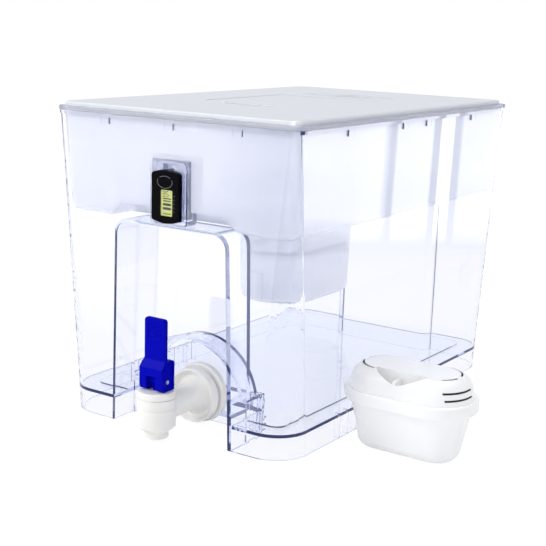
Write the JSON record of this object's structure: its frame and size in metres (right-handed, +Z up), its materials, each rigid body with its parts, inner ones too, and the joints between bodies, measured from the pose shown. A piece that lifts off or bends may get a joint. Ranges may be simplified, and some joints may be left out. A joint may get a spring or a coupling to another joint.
{
  "type": "gravity water filter with tap",
  "caption": "Clear tank water filter: lift-out hopper with a filter socket, lid with a fill flap, lever tap in a front niche, filter life indicator, and a spare oval cartridge.",
  "frame": {"origin": "centre of the tank's footprint on the table", "axes": "+Z up, the tap faces -Y, +X to the right of someone who faces the tap"},
  "size_m": [0.3317, 0.3802, 0.2506],
  "materials": {
    "clear_tank": "clear, glossy",
    "clear_hopper": "clear, glossy, slightly smoky",
    "white_lid": "smooth white",
    "white_tap": "glossy warm white",
    "blue_lever": "satin royal blue",
    "black_case": "glossy black",
    "clear_pane": "clear",
    "display_module": "reflective liquid crystal",
    "circuit_board": "green board",
    "steel": "bright stainless",
    "soft_rubber": "translucent white rubber",
    "white_cartridge": "glossy white",
    "dark_screen": "dark woven screen",
    "granules": "activated carbon and resin granules"
  },
  "bodies": {
    "tank": {"tank_shell": "clear_tank", "tap_body": "white_tap", "tap_collar": "white_tap", "outer_gasket": "soft_rubber", "inner_gasket": "soft_rubber", "lock_nut": "white_tap", "spout_nozzle": "white_tap", "tap_bonnet": "white_tap", "stem_seal": "soft_rubber"},
    "indicator": {"indicator_housing": "black_case", "indicator_window": "clear_pane", "indicator_display": "display_module", "indicator_board": "circuit_board", "indicator_switch": "steel", "indicator_cell": "steel", "indicator_cover": "black_case"},
    "button": {"indicator_button": "black_case"},
    "valve": {"valve_stem": "blue_lever", "valve_plug": "soft_rubber", "lever_pin": "steel", "valve_spring": "steel"},
    "lever": {"tap_lever": "blue_lever"},
    "hopper": {"hopper": "clear_hopper", "socket_seal": "soft_rubber"},
    "lid": {"lid": "white_lid", "flap_pins": "steel"},
    "flap": {"fill_flap": "white_lid"},
    "cartridge": {"cartridge_body": "white_cartridge", "cartridge_cap": "white_cartridge", "inlet_screens": "dark_screen", "media_cover": "white_cartridge", "filter_media": "granules"}
  },
  "joints": [
    {"name": "lever_tilt", "type": "hinge", "parent": "valve", "child": "lever", "pos_m": [0, -0.187, 0.048], "axis": [1, 0, 0], "range_deg": [0, 45], "stiffness_Nm_per_rad": 0.1, "springref_deg": -11.46},
    {"name": "stem_lift", "type": "slide", "parent": "tank", "child": "valve", "axis": [0, 0, 1], "range_m": [0, 0.0022], "deforming": ["valve_spring"]},
    {"name": "hopper_lift", "type": "slide", "parent": "tank", "child": "hopper", "axis": [0, 0, 1], "range_m": [0, 0.18]},
    {"name": "lid_lift", "type": "slide", "parent": "hopper", "child": "lid", "axis": [0, 0, 1], "range_m": [0, 0.05]},
    {"name": "flap_open", "type": "hinge", "parent": "lid", "child": "flap", "pos_m": [0, 0.044, 0.248], "axis": [-1, 0, 0], "range_deg": [0, 95]},
    {"name": "indicator_pull", "type": "slide", "parent": "tank", "child": "indicator", "axis": [0, -1, 0], "range_m": [0, 0.02]},
    {"name": "button_press", "type": "slide", "parent": "indicator", "child": "button", "axis": [0, 1, 0], "range_m": [0, 0.0008], "stiffness_N_per_m": 800, "springref_m": -0.001},
    {"name": "cartridge_lift", "type": "slide", "parent": "tank", "child": "cartridge", "axis": [0, 0, 1], "range_m": [0, 0.08]}
  ],
  "couplings": [
    {"joint": "stem_lift", "follows": "lever_tilt", "m_per_rad": 0.0028}
  ]
}
